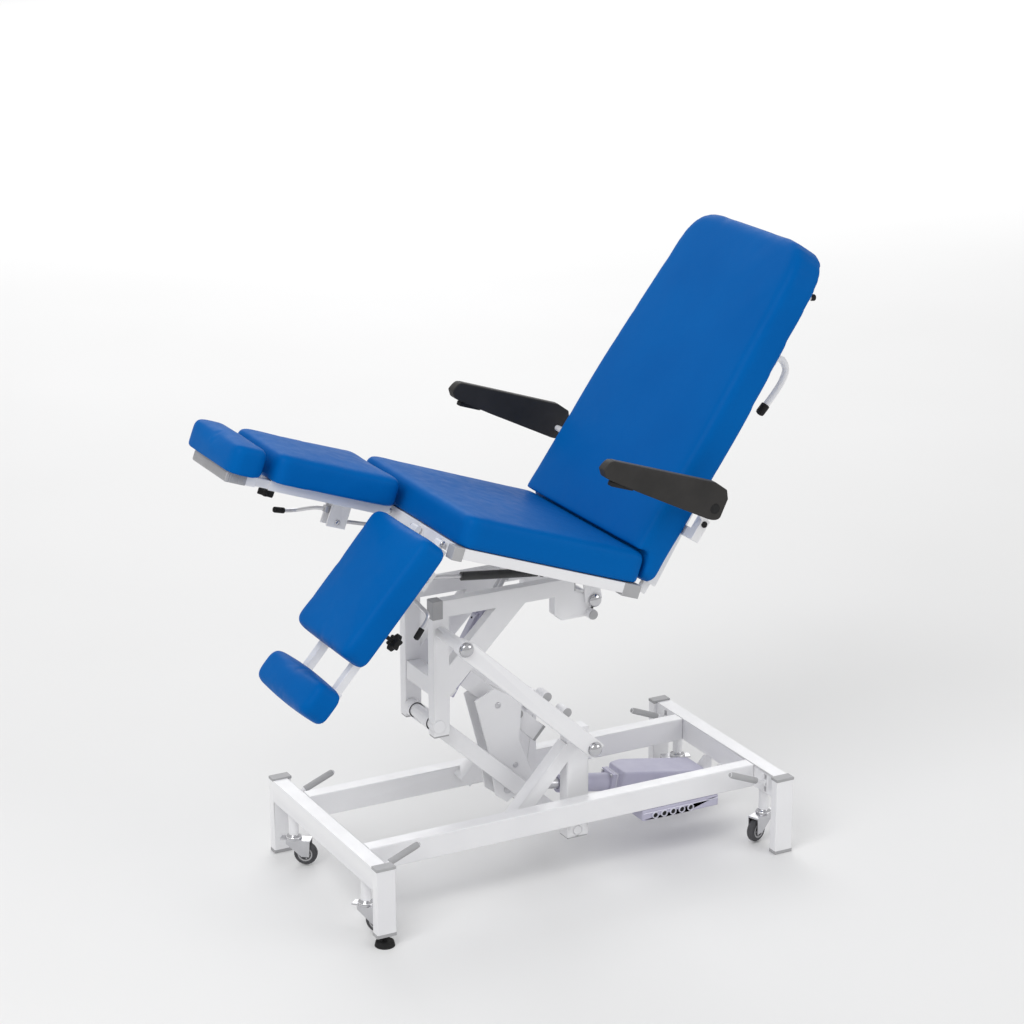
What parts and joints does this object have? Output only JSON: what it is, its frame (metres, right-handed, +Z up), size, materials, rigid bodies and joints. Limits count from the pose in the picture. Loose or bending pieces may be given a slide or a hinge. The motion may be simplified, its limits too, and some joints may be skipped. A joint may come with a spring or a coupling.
{
  "type": "medical exam table",
  "caption": "Padded treatment chair with reclining back, split leg rests, folding armrests and a parallelogram lift on a wheeled frame base.",
  "frame": {"origin": "centre of the footprint box on the floor", "axes": "+Z up; +X from the foot end to the head end; -Y is the near side"},
  "size_m": [1.4848, 0.8, 1.5641],
  "materials": {
    "frame": "satin",
    "lever": "satin",
    "actuator": "matte",
    "upholstery": "satin",
    "armrest": "matte",
    "rubber": "matte",
    "tyre": "matte",
    "strut": "satin",
    "chrome": "polished"
  },
  "bodies": {
    "base": {"foot_end_frame": "frame", "head_end_frame": "frame", "rail_near": "frame", "rail_far": "frame", "control_box": "actuator"},
    "levelling_foot": {"levelling_foot": "rubber"},
    "castor_lever_foot_near": {"castor_lever_foot_near": "lever"},
    "castor_stem_foot_near": {"castor_stem_foot_near": "frame"},
    "castor_fork_foot_near": {"castor_fork_foot_near": "chrome"},
    "castor_wheel_foot_near": {"castor_wheel_foot_near": "tyre"},
    "castor_lever_foot_far": {"castor_lever_foot_far": "lever"},
    "castor_stem_foot_far": {"castor_stem_foot_far": "frame"},
    "castor_fork_foot_far": {"castor_fork_foot_far": "chrome"},
    "castor_wheel_foot_far": {"castor_wheel_foot_far": "tyre"},
    "castor_lever_head_near": {"castor_lever_head_near": "lever"},
    "castor_stem_head_near": {"castor_stem_head_near": "frame"},
    "castor_fork_head_near": {"castor_fork_head_near": "chrome"},
    "castor_wheel_head_near": {"castor_wheel_head_near": "tyre"},
    "castor_lever_head_far": {"castor_lever_head_far": "lever"},
    "castor_stem_head_far": {"castor_stem_head_far": "frame"},
    "castor_fork_head_far": {"castor_fork_head_far": "chrome"},
    "castor_wheel_head_far": {"castor_wheel_head_far": "tyre"},
    "upper_arms": {"upper_arm_near": "frame", "upper_arm_far": "frame"},
    "lower_arms": {"lower_arms": "frame", "lift_crank": "frame"},
    "carriage": {"carriage_side_near": "frame", "carriage_side_far": "frame", "carriage_cross_tube": "frame"},
    "lift_actuator_body": {"lift_actuator_body": "actuator"},
    "lift_actuator_rod": {"lift_actuator_rod": "chrome"},
    "seat": {"seat_frame": "frame", "seat_cushion": "upholstery"},
    "tilt_actuator_body": {"tilt_actuator_body": "actuator"},
    "tilt_actuator_rods": {"tilt_actuator_rods": "chrome"},
    "back": {"back_frame": "frame", "back_cushion": "upholstery", "back_handle": "frame", "armrest_bracket_near": "frame", "armrest_bracket_far": "frame"},
    "armrest_near": {"armrest_near": "armrest"},
    "armrest_far": {"armrest_far": "armrest"},
    "leg_near": {"leg_frame_near": "frame", "calf_cushion_near": "upholstery"},
    "foot_near": {"foot_frame_near": "frame", "foot_cushion_near": "upholstery"},
    "slide_knob_near": {"slide_knob_near": "rubber"},
    "release_lever_near": {"release_lever_near": "chrome"},
    "strut_cylinder_near": {"strut_cylinder_near": "strut"},
    "strut_rod_near": {"strut_rod_near": "chrome"},
    "leg_far": {"leg_frame_far": "frame", "calf_cushion_far": "upholstery"},
    "foot_far": {"foot_frame_far": "frame", "foot_cushion_far": "upholstery"},
    "slide_knob_far": {"slide_knob_far": "rubber"},
    "release_lever_far": {"release_lever_far": "chrome"},
    "strut_cylinder_far": {"strut_cylinder_far": "strut"},
    "strut_rod_far": {"strut_rod_far": "chrome"}
  },
  "joints": [
    {"name": "levelling_foot_turn", "type": "hinge", "parent": "base", "child": "levelling_foot", "pos_m": [-0.51158, -0.3035, 0.014], "axis": [0, 0, 1], "continuous": true},
    {"name": "castor_lever_foot_near", "type": "hinge", "parent": "base", "child": "castor_lever_foot_near", "pos_m": [-0.49958, -0.246, 0.17], "axis": [0, 1, 0], "range_deg": [0, 52]},
    {"name": "castor_drop_foot_near", "type": "slide", "parent": "base", "child": "castor_stem_foot_near", "axis": [0, 0, -1], "range_m": [0, 0.014]},
    {"name": "castor_swivel_foot_near", "type": "hinge", "parent": "castor_stem_foot_near", "child": "castor_fork_foot_near", "pos_m": [-0.51658, -0.213, 0.07], "axis": [0, 0, 1], "continuous": true},
    {"name": "castor_spin_foot_near", "type": "hinge", "parent": "castor_fork_foot_near", "child": "castor_wheel_foot_near", "pos_m": [-0.49729, -0.23598, 0.033], "axis": [0.766, 0.6428, 0], "continuous": true},
    {"name": "castor_lever_foot_far", "type": "hinge", "parent": "base", "child": "castor_lever_foot_far", "pos_m": [-0.49958, 0.246, 0.17], "axis": [0, 1, 0], "range_deg": [0, 52]},
    {"name": "castor_drop_foot_far", "type": "slide", "parent": "base", "child": "castor_stem_foot_far", "axis": [0, 0, -1], "range_m": [0, 0.014]},
    {"name": "castor_swivel_foot_far", "type": "hinge", "parent": "castor_stem_foot_far", "child": "castor_fork_foot_far", "pos_m": [-0.51658, 0.213, 0.07], "axis": [0, 0, 1], "continuous": true},
    {"name": "castor_spin_foot_far", "type": "hinge", "parent": "castor_fork_foot_far", "child": "castor_wheel_foot_far", "pos_m": [-0.49294, 0.19453, 0.033], "axis": [0.6157, 0.788, 0], "continuous": true},
    {"name": "castor_lever_head_near", "type": "hinge", "parent": "base", "child": "castor_lever_head_near", "pos_m": [0.59642, -0.246, 0.17], "axis": [0, 1, 0], "range_deg": [-52, 0]},
    {"name": "castor_drop_head_near", "type": "slide", "parent": "base", "child": "castor_stem_head_near", "axis": [0, 0, -1], "range_m": [0, 0.014]},
    {"name": "castor_swivel_head_near", "type": "hinge", "parent": "castor_stem_head_near", "child": "castor_fork_head_near", "pos_m": [0.61342, -0.213, 0.07], "axis": [0, 0, 1], "continuous": true},
    {"name": "castor_spin_head_near", "type": "hinge", "parent": "castor_fork_head_near", "child": "castor_wheel_head_near", "pos_m": [0.58523, -0.22326, 0.033], "axis": [0.342, -0.9397, 0], "continuous": true},
    {"name": "castor_lever_head_far", "type": "hinge", "parent": "base", "child": "castor_lever_head_far", "pos_m": [0.59642, 0.246, 0.17], "axis": [0, 1, 0], "range_deg": [-52, 0]},
    {"name": "castor_drop_head_far", "type": "slide", "parent": "base", "child": "castor_stem_head_far", "axis": [0, 0, -1], "range_m": [0, 0.014]},
    {"name": "castor_swivel_head_far", "type": "hinge", "parent": "castor_stem_head_far", "child": "castor_fork_head_far", "pos_m": [0.61342, 0.213, 0.07], "axis": [0, 0, 1], "continuous": true},
    {"name": "castor_spin_head_far", "type": "hinge", "parent": "castor_fork_head_far", "child": "castor_wheel_head_far", "pos_m": [0.58523, 0.22326, 0.033], "axis": [-0.342, -0.9397, 0], "continuous": true},
    {"name": "lift", "type": "hinge", "parent": "base", "child": "upper_arms", "pos_m": [0.10242, 0, 0.354], "axis": [0, 1, 0], "range_deg": [-18, 3]},
    {"name": "carriage_level", "type": "hinge", "parent": "upper_arms", "child": "carriage", "pos_m": [-0.25163, 0, 0.679], "axis": [0, 1, 0], "range_deg": [-4, 19]},
    {"name": "lower_arms_turn", "type": "hinge", "parent": "base", "child": "lower_arms", "pos_m": [0.09642, 0, 0.109], "axis": [0, 1, 0], "range_deg": [-19, 4]},
    {"name": "lift_actuator_swing", "type": "hinge", "parent": "base", "child": "lift_actuator_body", "pos_m": [0.57242, 0, 0.092], "axis": [0, 1, 0], "range_deg": [-4.95, 1.3]},
    {"name": "lift_actuator_stroke", "type": "slide", "parent": "lift_actuator_body", "child": "lift_actuator_rod", "axis": [-0.9846, 0, 0.1749], "range_m": [-0.00354, 0.01626]},
    {"name": "seat_tilt", "type": "hinge", "parent": "carriage", "child": "seat", "pos_m": [0.17042, 0, 0.692], "axis": [0, 1, 0], "range_deg": [-13.5, 4]},
    {"name": "tilt_actuator_swing", "type": "hinge", "parent": "carriage", "child": "tilt_actuator_body", "pos_m": [-0.19958, 0, 0.5], "axis": [0, 1, 0], "range_deg": [-1.53, 3.79]},
    {"name": "tilt_actuator_stroke", "type": "slide", "parent": "tilt_actuator_body", "child": "tilt_actuator_rods", "axis": [0.507, 0, 0.8619], "range_m": [-0.05127, 0.01589]},
    {"name": "back_recline", "type": "hinge", "parent": "seat", "child": "back", "pos_m": [0.19442, 0, 0.776], "axis": [0, 1, 0], "range_deg": [0, 72]},
    {"name": "armrest_fold_near", "type": "hinge", "parent": "back", "child": "armrest_near", "pos_m": [0.32642, -0.386, 0.9905], "axis": [0, 1, 0], "range_deg": [0, 88]},
    {"name": "armrest_fold_far", "type": "hinge", "parent": "back", "child": "armrest_far", "pos_m": [0.32642, 0.386, 0.9905], "axis": [0, 1, 0], "range_deg": [0, 88]},
    {"name": "leg_raise_near", "type": "hinge", "parent": "seat", "child": "leg_near", "pos_m": [-0.30812, -0.143, 0.94959], "axis": [0, 1, 0], "range_deg": [0, 68.1]},
    {"name": "foot_slide_near", "type": "slide", "parent": "leg_near", "child": "foot_near", "axis": [-0.6652, 0, -0.7466], "range_m": [-0.063, 0.09]},
    {"name": "slide_knob_near", "type": "hinge", "parent": "leg_near", "child": "slide_knob_near", "pos_m": [-0.47509, -0.227, 0.76218], "axis": [-0.7466, 0, 0.6652], "continuous": true},
    {"name": "release_lever_near", "type": "hinge", "parent": "leg_near", "child": "release_lever_near", "pos_m": [-0.35154, -0.13, 0.83426], "axis": [0, 1, 0], "range_deg": [-2, 6], "stiffness_Nm_per_rad": 3},
    {"name": "strut_swing_near", "type": "hinge", "parent": "seat", "child": "strut_cylinder_near", "pos_m": [0.00437, -0.13, 0.80201], "axis": [0, 1, 0], "range_deg": [0, 9.21]},
    {"name": "strut_stroke_near", "type": "slide", "parent": "strut_cylinder_near", "child": "strut_rod_near", "axis": [-0.9935, 0, 0.1137], "range_m": [0, 0.11207]},
    {"name": "leg_raise_far", "type": "hinge", "parent": "seat", "child": "leg_far", "pos_m": [-0.30812, 0.143, 0.94959], "axis": [0, 1, 0], "range_deg": [-68.1, 0]},
    {"name": "foot_slide_far", "type": "slide", "parent": "leg_far", "child": "foot_far", "axis": [-0.9409, 0, 0.3387], "range_m": [-0.019, 0.13]},
    {"name": "slide_knob_far", "type": "hinge", "parent": "leg_far", "child": "slide_knob_far", "pos_m": [-0.54428, 0.227, 1.03461], "axis": [0.3387, 0, 0.9409], "continuous": true},
    {"name": "release_lever_far", "type": "hinge", "parent": "leg_far", "child": "release_lever_far", "pos_m": [-0.43133, 0.156, 0.94686], "axis": [0, 1, 0], "range_deg": [-2, 6], "stiffness_Nm_per_rad": 3},
    {"name": "strut_swing_far", "type": "hinge", "parent": "seat", "child": "strut_cylinder_far", "pos_m": [0.00437, 0.156, 0.80201], "axis": [0, 1, 0], "range_deg": [-9.21, 0]},
    {"name": "strut_stroke_far", "type": "slide", "parent": "strut_cylinder_far", "child": "strut_rod_far", "axis": [-0.9652, 0, 0.2617], "range_m": [-0.11207, 0]}
  ],
  "couplings": [
    {"joint": "castor_drop_foot_near", "follows": "castor_lever_foot_near", "m_per_rad": 0.014875},
    {"joint": "castor_drop_foot_far", "follows": "castor_lever_foot_far", "m_per_rad": 0.014875},
    {"joint": "castor_drop_head_near", "follows": "castor_lever_head_near", "m_per_rad": -0.014875},
    {"joint": "castor_drop_head_far", "follows": "castor_lever_head_far", "m_per_rad": -0.014875},
    {"joint": "carriage_level", "follows": "lift", "ratio": -1},
    {"joint": "lower_arms_turn", "follows": "lift", "ratio": 1},
    {"joint": "lift_actuator_swing", "follows": "lift", "ratio": 0.24338},
    {"joint": "lift_actuator_stroke", "follows": "lift", "m_per_rad": -0.04858},
    {"joint": "tilt_actuator_swing", "follows": "seat_tilt", "ratio": -0.23818},
    {"joint": "tilt_actuator_stroke", "follows": "seat_tilt", "m_per_rad": 0.21335},
    {"joint": "strut_swing_near", "follows": "leg_raise_near", "ratio": 0.1269},
    {"joint": "strut_stroke_near", "follows": "leg_raise_near", "m_per_rad": 0.093451},
    {"joint": "strut_swing_far", "follows": "leg_raise_far", "ratio": 0.1269},
    {"joint": "strut_stroke_far", "follows": "leg_raise_far", "m_per_rad": 0.093451}
  ]
}
